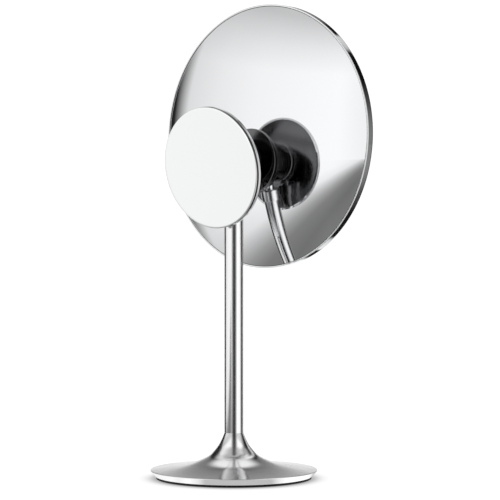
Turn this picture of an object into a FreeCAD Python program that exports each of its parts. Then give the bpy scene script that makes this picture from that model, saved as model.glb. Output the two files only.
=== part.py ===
"""Extendable shaving mirror: a large and a small mirror on a telescoping stem with a weighted base.

Lengths are in millimetres. The foot rests on Z = 0 with the stem's axis on Z, and the large mirror
faces -Y. Profiles are drawn as (radius, height) in a local frame whose Z is the piece's own axis:
the stem's axis for the base, the hub's axis for the tilted parts, the head's axis for the mirror.
"""
import math
import os

import FreeCAD
import Part
import Sketcher
from FreeCAD import Placement, Rotation, Vector

# Main sizes. Every other length below is worked out from these.
SIZES = {
    # stem tube and what slides in it
    "stem_r": 7.0, "stem_wall": 1.0, "stem_top": 206.5, "neck_z": 33.7, "rod_room": 20.5,
    "rod_r": 4.0, "run_gap": 0.05, "part_gap": 0.4, "bush_len": 16.5, "bush_lip": 1.2,
    "collar_wall": 1.6, "collar_h": 10.0, "collar_lap": 5.5, "neck_gap": 7.0,
    "spigot_r": 2.5, "spigot_len": 9.0, "piston_h": 8.0, "cord_r": 0.8, "rod_washer_h": 0.8,
    # weighted base
    "rim_r": 62.1, "rim_z": 6.3, "rim_edge": 0.6, "pad_inset": 4.2, "pad_h": 1.5, "skin": 1.2,
    "rim_fold": 1.9, "neck_hole_r": 5.0, "plate_h": 1.6, "plate_hole_r": 7.0, "plug_lap": 24.0,
    "weight_gap": 0.8, "bolt_grip": 12.0, "bolt_r": 3.0, "bolt_head_r": 5.0, "bolt_head_h": 4.0,
    "base_circle_r": 38.0,
    # small screws, all M3
    "m3_r": 1.5, "m3_free_r": 1.7, "m3_head_r": 2.75, "m3_head_h": 2.0,
    # hub, with its lengths measured from the small mirror's face
    "hub_tilt": 10.1, "hub_back": 27.3, "pin_cover": 0.65, "hub_r": 17.0, "hub_wall": 2.0,
    "foot_lip": 3.5, "foot_h": 1.4, "floor_h": 2.0, "bezel_h": 0.8, "hub_circle_r": 9.0,
    "knuckle_step": 8.9, "blade_x": 3.4, "washer_r": 4.2, "washer_h": 1.0, "slip": 0.1,
    "pin_r": 1.75, "eye_r": 4.0, "tongue_r": 3.8, "slot_run": 9.6, "slot_front": 4.9, "slot_up": 9.0,
    # small mirror, slightly hollow-faced so that it magnifies
    "small_r": 45.0, "small_wall": 0.8, "small_depth": 5.2, "small_inset": 0.2, "small_crimp": 1.2,
    "small_glass_h": 2.6, "small_plate": 1.5, "small_edge_w": 4.2, "small_edge_h": 1.2,
    "small_dome_r": 200.0, "small_curve_r": 1000.0, "seat_w": 6.8,
    # large mirror head
    "head_rise": 20.7, "mirror_r": 99.7, "ring_wall": 1.2, "ring_depth": 7.0, "ring_step": 0.5,
    "front_lip": 1.0, "front_lip_w": 3.8, "head_gap": 7.3, "dome_r": 325.0, "dome_skin": 1.0,
    "skirt": 2.0, "glass_h": 3.0, "flange_r": 24.5, "flange_h": 1.2, "neck_r": 5.5,
    "stiff_r": 21.0, "stiff_h": 4.6, "flange_circle_r": 15.0,
}

# Lengths that follow from the main sizes, as spreadsheet formulas.
DERIVED = {
    # stem
    "stem_in_r": "stem_r - stem_wall",
    "collar_r": "stem_r + collar_wall",
    "collar_z": "stem_top - collar_lap",
    "collar_top": "collar_z + collar_h",
    "hinge_z": "collar_top + neck_gap + hub_r",
    "spigot_z": "neck_z + plug_lap + rod_room + m3_head_h + rod_washer_h",
    "rod_foot": "spigot_z + spigot_len",
    "travel": "stem_top - bush_len - rod_foot",
    "piston_z": "spigot_z + 0.5",
    "groove_z": "piston_z + 0.5 * piston_h",
    "thread_r": "m3_r - 0.05",
    # base
    "flare": "rim_r - stem_r",
    "drop": "neck_z - rim_z",
    "pad_r": "rim_r - pad_inset",
    "plate_top": "pad_h + plate_h",
    "head_z": "plate_top + 0.4",
    "washer_z": "head_z + bolt_head_h",
    # hub
    "hub_len": "hub_back + knuckle_step + pin_r + pin_cover + bezel_h + 0.1",
    "hub_in_r": "hub_r - hub_wall",
    "foot_r": "hub_r + foot_lip",
    "foot_top": "seat_w + foot_h",
    "cheek_x": "blade_x + washer_h + slip",
    "pin_half": "hub_in_r - 0.6",
    "core_w": "seat_w + floor_h + 0.1",
    "core_end": "hub_len - bezel_h - 0.1",
    "tongue_w": "hub_back + knuckle_step",
    "hub_y": "hub_back * cos(hub_tilt)",
    "hub_z": "hinge_z - hub_back * sin(hub_tilt)",
    "turned": "90 - hub_tilt",
    # small mirror
    "seat_r": "foot_r + 0.5",
    "small_in_r": "small_r - small_wall",
    "small_floor": "seat_w - small_plate",
    "small_glass_r": "small_r",
    "small_glass_end": "small_inset + small_glass_h",
    "small_dish": "small_curve_r - sqrt(small_curve_r^2 - small_glass_r^2)",
    # large mirror head
    "tongue_d": "knuckle_step * cos(hub_tilt)",
    "tongue_z": "hinge_z + knuckle_step * sin(hub_tilt)",
    "mirror_z": "hinge_z + head_rise",
    "tongue_rel": "tongue_z - mirror_z",
    "dome_apex": "hub_len - hub_back + head_gap",
    "dome_in": "mirror_r - ring_wall - 0.3",
    "dome_centre": "dome_apex + dome_r",
    "dome_edge": "dome_centre - sqrt(dome_r^2 - dome_in^2)",
    "dome_r2": "dome_r - dome_skin",
    "skirt_in": "dome_in - dome_skin",
    "dome_edge2": "dome_centre - sqrt(dome_r2^2 - skirt_in^2)",
    "skirt_end": "dome_edge + skirt",
    "ring_back": "dome_edge - ring_step",
    "ring_front": "ring_back + ring_depth",
    "glass_front": "ring_front - front_lip",
    "glass_back": "glass_front - glass_h",
    "flange_back": "dome_apex - flange_h",
    "stiff_front": "dome_apex + dome_skin + stiff_h",
}

# The flared base from neck to rim: share of the flare, share of the drop, and the unit normal.
TRUMPET = [
    (0.0000, 1.0000, 1.000, 0.000), (0.0035, 0.9820, 0.985, 0.174), (0.0181, 0.9088, 0.940, 0.342),
    (0.0427, 0.7993, 0.900, 0.436), (0.0830, 0.6540, 0.850, 0.527), (0.1343, 0.5255, 0.740, 0.673),
    (0.1924, 0.4015, 0.610, 0.792), (0.2849, 0.2920, 0.460, 0.888), (0.4102, 0.1860, 0.300, 0.954),
    (0.6000, 0.0960, 0.190, 0.982), (0.8000, 0.0400, 0.130, 0.992), (1.0000, 0.0000, 0.100, 0.995),
]

# The cast weight follows the skin's inside from this row of the trumpet to that one.
WEIGHT_ROWS = range(5, 11)
for row in WEIGHT_ROWS:
    f, g, nx, nz = TRUMPET[row]
    DERIVED[f"weight_r_{row}"] = f"stem_r + {f} * flare - {nx} * (skin + weight_gap)"
    DERIVED[f"weight_z_{row}"] = f"rim_z + {g} * drop - {nz} * (skin + weight_gap)"
DERIVED["boss_z"] = f"weight_z_{WEIGHT_ROWS[0]}"

STEM, HUB, HEAD, TONGUE = "stem", "hub", "head", "tongue"

doc = FreeCAD.newDocument("shaving_mirror")
sheet = doc.addObject("Spreadsheet::Sheet", "dims")
for row, (alias, size) in enumerate(list(SIZES.items()) + list(DERIVED.items()), start=1):
    sheet.set(f"A{row}", alias)
    sheet.set(f"B{row}", str(size) if alias in SIZES else f"={size}")
    sheet.setAlias(f"B{row}", alias)
doc.recompute()


def split(text):
    """Split "a + b - 2 * c" into (sign, [factors]) terms; factors are names or plain numbers."""
    terms, sign, factors = [], 1.0, []
    for word in text.split():
        if word in ("+", "-"):
            if factors:
                terms.append((sign, factors))
            sign, factors = (1.0 if word == "+" else -1.0), []
        elif word != "*":
            factors.append(word)
    terms.append((sign, factors))
    return terms


def is_number(word):
    """Tell a plain number from the name of a size."""
    return word.replace(".", "", 1).isdigit()


def length(text):
    """Work out a length such as "stem_r - 2 * run_gap" from the sheet's values."""
    total = 0.0
    for sign, factors in split(text):
        product = sign
        for word in factors:
            product *= float(word) if is_number(word) else float(getattr(sheet, word))
        total += product
    return total


def bound(text):
    """Write the same length as an expression that follows the sheet."""
    words = text.split()
    return " ".join(w if w in "+-*" or is_number(w) else f"dims.{w}" for w in words)


def bind(thing, prop, text):
    """Set a length property now and keep it tied to the sheet."""
    setattr(thing, prop, length(text))
    thing.setExpression(prop, bound(text))


FACING = {HEAD: "mirror_z", TONGUE: "tongue_z"}


def stand(thing, frame):
    """Put a finished piece, drawn along its own axis, into the assembly."""
    if frame == HUB:
        spot, turn = Vector(0, length("hub_y"), length("hub_z")), length("turned")
    elif frame in (HEAD, TONGUE):
        spot, turn = Vector(0, 0, length(FACING[frame])), 90.0
    else:
        return thing
    thing.Placement = Placement(spot, Rotation(Vector(1, 0, 0), turn))
    if frame == HUB:
        thing.setExpression("Placement.Base.y", "dims.hub_y")
        thing.setExpression("Placement.Base.z", "dims.hub_z")
        thing.setExpression("Placement.Rotation.Angle", "dims.turned")
    else:
        thing.setExpression("Placement.Base.z", bound(FACING[frame]))
    return thing


def lathe(name, corners):
    """Turn a closed profile about the local Z axis.

    Each corner is (radius, height) or (radius, height, arc radius, centre above): with an arc
    radius, the edge that leaves the corner is an arc with its centre above or below its chord.
    """
    body = doc.addObject("PartDesign::Body", f"{name}_body")
    body.Label = f"{name} body"
    sketch = body.newObject("Sketcher::SketchObject", f"{name}_profile")
    plane = next(f for f in body.Origin.OriginFeatures if f.Role == "XZ_Plane")
    sketch.AttachmentSupport = (plane, [""])
    sketch.MapMode = "FlatFace"
    spots = [Vector(length(c[0]), length(c[1]), 0) for c in corners]
    edges = []
    for here, corner in enumerate(corners):
        start, end = spots[here], spots[(here + 1) % len(spots)]
        if len(corner) == 2:
            edges.append((sketch.addGeometry(Part.LineSegment(start, end), False), 1, 2))
            continue
        radius, chord = length(corner[2]), end - start
        side = Vector(-chord.y, chord.x, 0).normalize()
        if (side.y > 0) != (corner[3] == "above"):
            side = side * -1
        middle = (start + end) * 0.5
        rise = (radius ** 2 - (chord.Length / 2) ** 2) ** 0.5
        centre = middle + side * rise
        arc = Part.Arc(start, centre - side * radius, end)
        edge = sketch.addGeometry(arc, False)
        near = sketch.getPoint(edge, 1).distanceToPoint(start) < 1e-4
        edges.append((edge, 1, 2) if near else (edge, 2, 1))
        number = sketch.addConstraint(Sketcher.Constraint("Radius", edge, radius))
        sketch.setExpression(f"Constraints[{number}]", bound(corner[2]))
    for here, corner in enumerate(corners):
        edge, first, _ = edges[here]
        last = edges[here - 1]
        sketch.addConstraint(Sketcher.Constraint("Coincident", last[0], last[2], edge, first))
        for kind, axis, text in (("DistanceX", -2, corner[0]), ("DistanceY", -1, corner[1])):
            if text == "0":
                sketch.addConstraint(Sketcher.Constraint("PointOnObject", edge, first, axis))
                continue
            rule = Sketcher.Constraint(kind, -1, 1, edge, first, length(text))
            number = sketch.addConstraint(rule)
            sketch.setExpression(f"Constraints[{number}]", bound(text))
    spin = body.newObject("PartDesign::Revolution", f"{name}_turned")
    spin.Profile = sketch
    spin.ReferenceAxis = (sketch, ["V_Axis"])
    spin.Angle = 360.0
    body.Tip = spin
    return body


def ring(name, inner, outer, low, high):
    """A plain washer or tube between two heights."""
    return lathe(name, [(inner, low), (outer, low), (outer, high), (inner, high)])


def disc(name, radius, low, high):
    """A solid round plate between two heights."""
    return lathe(name, [("0", low), (radius, low), (radius, high), ("0", high)])


def rod(name, radius, low, high):
    """A round bar along local Z between two heights, used as a tool or a base to cut."""
    bar = doc.addObject("Part::Cylinder", name)
    bind(bar, "Radius", radius)
    bar.Height = length(high) - length(low)
    bar.setExpression("Height", f"({bound(high)}) - ({bound(low)})")
    bar.Placement.Base = Vector(0, 0, length(low))
    bar.setExpression("Placement.Base.z", bound(low))
    return bar


def cross_bar(name, radius, half, y, z):
    """A round bar along local X, centred, at the given height."""
    bar = doc.addObject("Part::Cylinder", name)
    bind(bar, "Radius", radius)
    bar.Height = 2 * length(half)
    bar.setExpression("Height", f"2 * ({bound(half)})")
    spot = Vector(-length(half), length(y), length(z))
    bar.Placement = Placement(spot, Rotation(Vector(0, 1, 0), 90))
    bar.setExpression("Placement.Base.x", f"-({bound(half)})")
    for prop, text in (("y", y), ("z", z)):
        if text != "0":
            bar.setExpression(f"Placement.Base.{prop}", bound(text))
    return bar


def block(name, half_x, y_low, y_high, z_low, z_high):
    """A box centred on local X."""
    box = doc.addObject("Part::Box", name)
    box.Length = 2 * length(half_x)
    box.setExpression("Length", f"2 * ({bound(half_x)})")
    for prop, low, high in (("Width", y_low, y_high), ("Height", z_low, z_high)):
        setattr(box, prop, length(high) - length(low))
        box.setExpression(prop, f"({bound(high)}) - ({bound(low)})")
    box.Placement.Base = Vector(-length(half_x), length(y_low), length(z_low))
    box.setExpression("Placement.Base.x", f"-({bound(half_x)})")
    box.setExpression("Placement.Base.y", bound(y_low))
    box.setExpression("Placement.Base.z", bound(z_low))
    return box


def ball(name, radius, centre):
    """A ball on the local axis."""
    sphere = doc.addObject("Part::Sphere", name)
    bind(sphere, "Radius", radius)
    sphere.Placement.Base = Vector(0, 0, length(centre))
    sphere.setExpression("Placement.Base.z", bound(centre))
    return sphere


def around(name, make, count, radius, start=90.0, y0="0"):
    """Copies of one tool on a circle; make(name, x, y) returns each, with x and y as numbers."""
    tools = []
    for index in range(count):
        angle = math.radians(start + index * 360.0 / count)
        x = length(radius) * math.cos(angle)
        y = length(radius) * math.sin(angle) + length(y0)
        tools.append(make(f"{name}{index + 1}", x, y))
    return tools


def shifted(bar, x, y):
    """Move a bar sideways to its place on a bolt circle."""
    spot = bar.Placement.Base
    bar.Placement.Base = Vector(x, y, spot.z)
    return bar


def cut(name, base, tools):
    """Take tools away from a piece."""
    tool = tools[0]
    if len(tools) > 1:
        tool = doc.addObject("Part::MultiFuse", f"{name}_tools")
        tool.Shapes = tools
    result = doc.addObject("Part::Cut", name)
    result.Base, result.Tool = base, tool
    return result


def join(name, pieces):
    """Melt overlapping shapes into one solid."""
    result = doc.addObject("Part::MultiFuse", name)
    result.Shapes, result.Refine = pieces, True
    return result


def bundle(name, pieces):
    """Several separate solids in one node."""
    result = doc.addObject("Part::Compound", name)
    result.Links = pieces
    return result


def screw(name, head_low, head_high, tip, x, y, head_up=False):
    """An M3 screw along local Z; its head lies below its shank unless head_up is set."""
    head = shifted(rod(f"{name}_head", "m3_head_r", head_low, head_high), x, y)
    low, high = (tip, head_low) if head_up else (head_high, tip)
    shank = shifted(rod(f"{name}_shank", "thread_r", low, high), x, y)
    top = (head_high, -1) if head_up else (head_low, 1)
    socket = shifted(rod(f"{name}_socket", "0.5 * m3_head_r", f"{top[0]} - 1", f"{top[0]} + 1"), x, y)
    return cut(name, join(f"{name}_bar", [head, shank]), [socket])


nodes = {}


def node(name, thing, frame=STEM):
    """Register a finished piece as a named node."""
    stand(thing, frame)
    thing.Label = name
    nodes[name] = thing


# ---------------------------------------------------------------- weighted base
def trumpet_point(row, depth):
    """A point on the base's flared skin, a given depth under its outer face."""
    f, g, nx, nz = row
    radius = length("stem_r") + f * length("flare") - depth * nx
    height = length("rim_z") + g * length("drop") - depth * nz
    return Vector(radius, 0, height)


def trumpet_curve(depth, inner_r):
    """A smooth curve down the flared skin; the inner one runs from the neck's hole to the rim's fold."""
    points = [trumpet_point(row, depth) for row in TRUMPET]
    curve = Part.BSplineCurve()
    if depth:
        fold = Vector(length("rim_r - rim_fold"), 0, points[-1].z + 0.1 * length("rim_fold"))
        points = [p for p in points[:-1] if p.x > inner_r + 0.4] + [fold]
        points.insert(0, Vector(inner_r, 0, points[0].z + 3.0))
    curve.interpolate(points)
    return curve.toShape(), points


def base_holes(name, radius, low, high):
    """Three holes on the base's screw circle."""
    return around(name, lambda n, x, y: shifted(rod(n, radius, low, high), x, y), 3, "base_circle_r")


node("foot_pad", disc("foot_pad", "pad_r", "0", "pad_h"))

plate = lathe("base_disc", [("plate_hole_r", "pad_h"), ("pad_r - skin", "pad_h"),
                            ("pad_r - skin", "plate_top"), ("plate_hole_r", "plate_top")])
plate_holes = base_holes("plate_hole", "m3_head_r + 0.1", "0", "2 * plate_top")
node("base_plate", cut("base_plate", plate, plate_holes))

base_screws = around("base_screw", lambda n, x, y: screw(n, "pad_h", "plate_top", "plate_top + 2.6", x, y),
                     3, "base_circle_r")
node("base_screws", bundle("base_screws", base_screws))

weight_skin = [(f"weight_r_{row}", f"weight_z_{row}") for row in reversed(WEIGHT_ROWS)]
weight = lathe("weight", [
    ("bolt_r + 0.2", "washer_z + 1.0"), ("bolt_head_r + 1.5", "washer_z + 1.0"),
    ("bolt_head_r + 1.5", "plate_top"), (weight_skin[0][0], "plate_top"), *weight_skin,
    ("bolt_r + 0.2", "boss_z")])
weight_holes = base_holes("weight_hole", "m3_r", "pad_h", "plate_top + 2.8")
node("base_ballast", cut("base_ballast", weight, weight_holes))

outer, outer_points = trumpet_curve(0.0, 0.0)
inner, inner_points = trumpet_curve(length("skin"), length("neck_hole_r"))
rim, lip_r, low = length("rim_r"), length("pad_r") + 0.4, length("pad_h")
path = [outer_points[-1], Vector(rim, 0, length("rim_z - rim_edge")), Vector(lip_r, 0, low),
        Vector(lip_r - length("skin"), 0, low), inner_points[-1]]
neck = [inner_points[0], Vector(length("neck_hole_r"), 0, length("neck_z")), outer_points[0]]
outline = [outer, inner] + Part.makePolygon(path).Edges + Part.makePolygon(neck).Edges
wire = Part.Wire(Part.__sortEdges__(outline))
shell = doc.addObject("Part::Feature", "base_shell")
shell.Shape = Part.Face(wire).revolve(Vector(0, 0, 0), Vector(0, 0, 1), 360)
node("base_shell", shell)

bolt_head = rod("bolt_head", "bolt_head_r", "head_z", "washer_z")
bolt_shank = rod("bolt_shank", "bolt_r - run_gap", "washer_z", "boss_z + bolt_grip")
bolt_socket = rod("bolt_socket", "0.5 * bolt_head_r", "pad_h", "head_z + 0.5 * bolt_head_h")
node("stem_bolt", cut("stem_bolt", join("stem_bolt_bar", [bolt_head, bolt_shank]), [bolt_socket]))
node("stem_washer", ring("stem_washer", "bolt_r + 0.2", "bolt_head_r + 1.3", "washer_z", "washer_z + 1.0"))

plug = lathe("plug", [
    ("0", "boss_z + bolt_grip + 2"), ("bolt_r", "boss_z + bolt_grip + 1"), ("bolt_r", "boss_z"),
    ("neck_hole_r - run_gap", "boss_z"), ("neck_hole_r - run_gap", "neck_z"),
    ("stem_in_r - run_gap", "neck_z"), ("stem_in_r - run_gap", "neck_z + plug_lap"),
    ("0", "neck_z + plug_lap")])
node("stem_plug", plug)

# ---------------------------------------------------------------- stem and telescoping rod
node("stem_tube", ring("stem_tube", "stem_in_r", "stem_r", "neck_z", "stem_top"))
node("guide_bush", lathe("guide_bush", [
    ("rod_r + run_gap", "stem_top - bush_len"), ("stem_in_r - run_gap", "stem_top - bush_len"),
    ("stem_in_r - run_gap", "stem_top"), ("stem_r - run_gap", "stem_top"),
    ("stem_r - run_gap", "stem_top + bush_lip"), ("rod_r + run_gap", "stem_top + bush_lip")]))
node("stem_collar", lathe("stem_collar", [
    ("stem_r + run_gap", "collar_z"), ("collar_r - 0.4", "collar_z"), ("collar_r", "collar_z + 0.4"),
    ("collar_r", "collar_top - 1.0"), ("collar_r - 1.0", "collar_top"),
    ("rod_r + part_gap", "collar_top"), ("rod_r + part_gap", "stem_top + bush_lip"),
    ("stem_r + run_gap", "stem_top + bush_lip")]))

piston_r, groove_r = "stem_in_r - 2 * run_gap", "stem_in_r - 2 * cord_r - run_gap"
node("friction_piston", lathe("friction_piston", [
    ("spigot_r + run_gap", "piston_z"), (piston_r, "piston_z"), (piston_r, "groove_z - cord_r"),
    (groove_r, "groove_z - cord_r"), (groove_r, "groove_z + cord_r"), (piston_r, "groove_z + cord_r"),
    (piston_r, "piston_z + piston_h"), ("spigot_r + run_gap", "piston_z + piston_h")]))
cord = doc.addObject("Part::Torus", "piston_ring")
bind(cord, "Radius1", "stem_in_r - cord_r - run_gap")
bind(cord, "Radius2", "cord_r - 0.03")
cord.Placement.Base = Vector(0, 0, length("groove_z"))
cord.setExpression("Placement.Base.z", bound("groove_z"))
node("piston_ring", cord)

bar = lathe("rod_bar", [
    ("0", "spigot_z"), ("spigot_r", "spigot_z"), ("spigot_r", "rod_foot"), ("rod_r", "rod_foot"),
    ("rod_r", "hinge_z"), ("0", "hinge_z")])
blade = block("rod_blade", "blade_x", "- 2 * rod_r", "2 * rod_r", "hinge_z - hub_r - 2", "hinge_z + 1")
round_part = block("rod_round", "2 * rod_r", "- 2 * rod_r", "2 * rod_r", "0", "hinge_z - hub_r - 2")
thin_bar = doc.addObject("Part::Common", "rod_thin")
thin_bar.Base, thin_bar.Tool = bar, join("rod_limits", [blade, round_part])
eye = cross_bar("rod_eye", "eye_r", "blade_x", "0", "hinge_z")
tapped = rod("rod_tapped", "m3_r", "spigot_z - 1", "rod_foot - 1")
eye_hole = cross_bar("rod_eye_hole", "pin_r + run_gap", "2 * blade_x", "0", "hinge_z")
node("inner_rod", cut("inner_rod", join("rod_joined", [thin_bar, eye]), [tapped, eye_hole]))
node("rod_washer", ring("rod_washer", "m3_free_r", "stem_in_r - 1.2", "spigot_z - rod_washer_h", "spigot_z"))
node("rod_screw", screw("rod_screw", "spigot_z - rod_washer_h - m3_head_h", "spigot_z - rod_washer_h",
                        "rod_foot - 2", 0, 0))

# ---------------------------------------------------------------- hub, tilted on the post
barrel = lathe("barrel", [
    ("0", "seat_w"), ("foot_r - 0.3", "seat_w"), ("foot_r", "seat_w + 0.3"), ("foot_r", "foot_top"),
    ("hub_r + 0.6", "foot_top"), ("hub_r", "foot_top + 0.6"), ("hub_r", "hub_len - 0.5"),
    ("hub_r - 0.5", "hub_len"), ("hub_in_r", "hub_len"), ("hub_in_r", "seat_w + floor_h"),
    ("0", "seat_w + floor_h")])
hub_window = block("hub_window", "rod_r + part_gap", "- 2 * hub_r", "- 0.5 * hub_r",
                   "hub_back - slot_run", "hub_back + slot_front")


def hub_holes(name, radius, low, high):
    """The three screw holes that hold the small mirror and the core to the barrel."""
    return around(name, lambda n, x, y: shifted(rod(n, radius, low, high), x, y), 3, "hub_circle_r")


barrel_holes = hub_holes("barrel_hole", "m3_free_r", "2", "core_w + 1")
node("hub_barrel", cut("hub_barrel", barrel, [hub_window] + barrel_holes), HUB)

core = rod("core_bar", "hub_in_r - 0.1", "core_w", "core_end")
core_slot = block("core_slot", "cheek_x", "- hub_r", "slot_up", "hub_back - slot_run", "hub_len + 5")
pin_holes = [cross_bar("core_pin_hole1", "pin_r", "hub_r", "0", "hub_back"),
             cross_bar("core_pin_hole2", "pin_r", "hub_r", "0", "tongue_w")]
core_taps = hub_holes("core_tap", "m3_r", "core_w - 1", "core_w + 6.5")
node("hub_core", cut("hub_core", core, [core_slot] + pin_holes + core_taps), HUB)

bezel = rod("bezel_disc", "hub_in_r - 0.1", "core_end", "core_end + bezel_h")
bezel_window = block("bezel_window", "cheek_x + 0.1", "- slot_up", "slot_up", "hub_back", "hub_len + 5")
node("hub_bezel", cut("hub_bezel", bezel, [bezel_window]), HUB)

pins = [cross_bar("hub_pin1", "pin_r - 0.02", "pin_half", "0", "hub_back"),
        cross_bar("hub_pin2", "pin_r - 0.02", "pin_half", "0", "tongue_w")]
node("hub_pins", bundle("hub_pins", pins), HUB)


def side_washer(name, height, side):
    """A friction washer between a blade and a cheek of the hub's core."""
    disc = cross_bar(f"{name}_disc", "washer_r", "0.5 * washer_h", "0", height)
    hole = cross_bar(f"{name}_hole", "pin_r + run_gap", "washer_h", "0", height)
    washer = cut(name, disc, [hole])
    middle = "cheek_x - 0.5 * washer_h"
    washer.Placement.Base = Vector(side * length(middle), 0, 0)
    washer.setExpression("Placement.Base.x", f"{side} * ({bound(middle)})")
    return washer


washers = [side_washer(f"washer{i}", height, side)
           for i, (height, side) in enumerate([("hub_back", -1), ("hub_back", 1),
                                               ("tongue_w", -1), ("tongue_w", 1)])]
node("friction_washers", bundle("friction_washers", washers), HUB)

hub_screws = around("hub_screw", lambda n, x, y: screw(
    n, "small_floor - m3_head_h", "small_floor", "core_w + 6", x, y), 3, "hub_circle_r")
node("hub_screws", bundle("hub_screws", hub_screws), HUB)

# ---------------------------------------------------------------- small mirror on the hub's back end
plate_r, edge_low = "small_in_r - 0.3", "small_edge_w - small_edge_h"
small_back = lathe("small_back", [
    ("0", "small_floor"), ("seat_r - 0.5", "small_floor"), ("small_in_r - 2", edge_low),
    (plate_r, edge_low), (plate_r, "small_edge_w", "small_dome_r", "below"), ("seat_r", "seat_w"),
    ("0", "seat_w")])
node("small_shell", cut("small_shell", small_back, hub_holes("small_hole", "m3_free_r", "2", "core_w")), HUB)
pad_in = "hub_circle_r + m3_head_r + 1"
node("small_pad", ring("small_pad", pad_in, "seat_r - 1", "small_glass_end", "small_floor"), HUB)
node("small_glass", lathe("small_glass", [
    ("0", "small_inset + small_dish", "small_curve_r", "below"), ("small_glass_r", "small_inset"),
    ("small_glass_r", "small_glass_end"), ("0", "small_glass_end")]), HUB)
crimp_r, crimp_w = "small_in_r - small_crimp", "small_edge_w + 0.2"
node("small_ring", lathe("small_ring", [
    ("small_in_r", "small_glass_end"), ("small_r", "small_glass_end"), ("small_r", "small_depth - 0.4"),
    ("small_r - 0.4", "small_depth"), (crimp_r, "small_depth"), (crimp_r, crimp_w),
    ("small_in_r", crimp_w)]), HUB)

# ---------------------------------------------------------------- large mirror head
flange_disc = lathe("flange_disc", [
    ("0", "flange_back - 1.5"), ("neck_r", "flange_back - 1.5"), ("neck_r + 1.5", "flange_back"),
    ("flange_r - 0.6", "flange_back"), ("flange_r", "flange_back + 0.6"), ("flange_r", "stiff_front - 1"),
    ("0", "stiff_front - 1")])


def head_ball(name, radius):
    """A ball about the dome's centre, seen from the tongue's frame."""
    sphere = ball(name, radius, "dome_centre")
    sphere.Placement.Base = Vector(0, -length("tongue_rel"), length("dome_centre"))
    sphere.setExpression("Placement.Base.y", "-dims.tongue_rel")
    return sphere


flange_plate = cut("flange_plate", flange_disc, [head_ball("flange_ball", "dome_r + 0.03")])
tongue_bar = block("tongue_bar", "blade_x", "- tongue_r", "tongue_r", "tongue_d", "flange_back + 0.4")
tongue_eye = cross_bar("tongue_eye", "tongue_r", "blade_x", "0", "tongue_d")
tongue_hole = cross_bar("tongue_hole", "pin_r + run_gap", "2 * blade_x", "0", "tongue_d")


def flange_holes(name, radius, low, high, y0="0"):
    """The three holes that hold the flange and the stiffener together through the dome."""
    return around(name, lambda n, x, y: shifted(rod(n, radius, low, high), x, y), 3, "flange_circle_r", y0=y0)


flange_taps = flange_holes("flange_tap", "m3_r", "flange_back + 0.5", "dome_centre")
node("mirror_flange", cut("mirror_flange", join("flange_joined", [flange_plate, tongue_bar, tongue_eye]),
                          [tongue_hole] + flange_taps), TONGUE)

stiff_bar = rod("stiff_bar", "stiff_r", "flange_back", "stiff_front")
stiff_part = doc.addObject("Part::Common", "stiff_part")
stiff_part.Base, stiff_part.Tool = stiff_bar, head_ball("stiff_ball", "dome_r2 - 0.03")
stiff_holes = flange_holes("stiff_hole", "m3_free_r", "0", "dome_centre")
node("stiffener", cut("stiffener", stiff_part, stiff_holes), TONGUE)
flange_screws = around("flange_screw", lambda n, x, y: screw(
    n, "stiff_front", "stiff_front + m3_head_h", "flange_back + 0.7", x, y, head_up=True),
    3, "flange_circle_r")
node("flange_screws", bundle("flange_screws", flange_screws), TONGUE)

dome = lathe("dome", [
    ("0", "dome_apex", "dome_r", "above"), ("dome_in", "dome_edge"), ("dome_in", "skirt_end"),
    ("skirt_in", "skirt_end"), ("skirt_in", "dome_edge2", "dome_r2", "above"),
    ("0", "dome_apex + dome_skin")])
dome_holes = flange_holes("dome_hole", "m3_free_r", "0", "dome_centre", y0="tongue_rel")
node("back_shell", cut("back_shell", dome, dome_holes), HEAD)
node("mirror_pad", disc("mirror_pad", "dome_in", "skirt_end", "glass_back"), HEAD)
node("mirror_glass", disc("mirror_glass", "dome_in", "glass_back", "glass_front"), HEAD)
node("rim_ring", lathe("rim_ring", [
    ("mirror_r - ring_wall", "ring_back"), ("mirror_r - 0.9", "ring_back"), ("mirror_r", "ring_back + 0.9"),
    ("mirror_r", "ring_front - 1.0"), ("mirror_r - 1.0", "ring_front"),
    ("mirror_r - front_lip_w", "ring_front"), ("mirror_r - front_lip_w", "glass_front"),
    ("mirror_r - ring_wall", "glass_front")]), HEAD)

# ---------------------------------------------------------------- check and write
doc.recompute()
for thing in doc.Objects:
    if "Invalid" in thing.State or "Error" in thing.State:
        raise RuntimeError(f"{thing.Label}: {thing.State}")
os.makedirs("parts", exist_ok=True)
for name, thing in nodes.items():
    shape = thing.Shape
    if shape.isNull() or not shape.isValid() or not shape.Solids:
        raise RuntimeError(f"{name} isn't a valid solid")
    shape.exportStep(f"parts/{name}.step")
    print(f"{name}: {len(shape.Solids)} solid(s), {shape.Volume:.0f} mm3")
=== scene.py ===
"""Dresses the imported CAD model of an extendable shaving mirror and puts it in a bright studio.

Everything is built in metres in the frame of the CAD model: the stem stands on +Z, the foot rests on
Z = 0 and the large mirror faces -Y. Sizes in the dataclasses are millimetres, as a maker writes them.
"""
import logging
import math
from dataclasses import dataclass, field
from enum import Enum

import bmesh
import bpy
from mathutils import Matrix, Vector


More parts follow.
